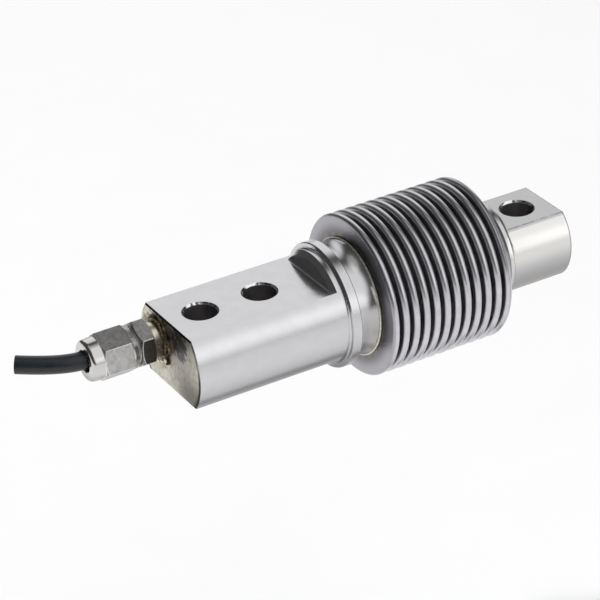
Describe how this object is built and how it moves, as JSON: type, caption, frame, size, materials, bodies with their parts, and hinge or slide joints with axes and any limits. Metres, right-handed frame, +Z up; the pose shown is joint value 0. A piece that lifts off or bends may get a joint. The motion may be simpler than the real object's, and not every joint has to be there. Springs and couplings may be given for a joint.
{
  "type": "load cell",
  "caption": "Bending beam load cell with a stainless steel bellows around its middle, flatted ends drilled for bolts, and a cable gland with a short black cable in the end face",
  "frame": {"origin": "on the lower flat of the fixed block, midway between its two mounting holes", "axes": "+X along the bar from the cable end to the load end, +Y to the side where the cable gland sits, +Z up out of the upper flat, along the mounting holes"},
  "size_m": [0.1594, 0.046, 0.0459],
  "materials": {
    "stainless_bar": "turned and milled stainless steel, satin",
    "stainless_foil": "rolled stainless steel foil, satin",
    "weld": "bare weld metal, lightly heat tinted",
    "gland_steel": "turned stainless steel, half bright",
    "washer_plastic": "white nylon",
    "seal_rubber": "black rubber",
    "cable_jacket": "black cable jacket, satin",
    "board_fibre": "green glass fibre board",
    "resistor_ceramic": "dark glazed ceramic chip",
    "core_red": "red insulation",
    "core_black": "black insulation",
    "core_green": "green insulation",
    "core_white": "white insulation",
    "sleeve_glass_fibre": "woven glass fibre sleeve",
    "gauge_film": "amber film with a metal foil grid",
    "lead_copper": "enamelled copper wire",
    "solder_tin": "bright tin solder"
  },
  "bodies": {
    "root": {"spring_element": "stainless_bar", "bellows": "stainless_foil", "rear_weld_seam": "weld", "front_weld_seam": "weld", "gland_body": "gland_steel", "gland_weld": "weld", "gland_nut": "gland_steel", "gland_washer": "washer_plastic", "gland_seal": "seal_rubber", "cable": "cable_jacket", "terminal_board": "board_fibre", "temperature_resistor": "resistor_ceramic", "zero_trim_resistor": "resistor_ceramic", "span_resistor": "resistor_ceramic", "core_red": "core_red", "core_black": "core_black", "core_green": "core_green", "core_white": "core_white", "core_sleeve": "sleeve_glass_fibre", "strain_gauge_top_rear": "gauge_film", "strain_gauge_top_front": "gauge_film", "strain_gauge_bottom_rear": "gauge_film", "strain_gauge_bottom_front": "gauge_film", "gauge_leads_top": "lead_copper", "bridge_leads_top": "lead_copper", "gauge_leads_bottom": "lead_copper", "bridge_leads_bottom": "lead_copper", "solder_points": "solder_tin"}
  },
  "joints": []
}
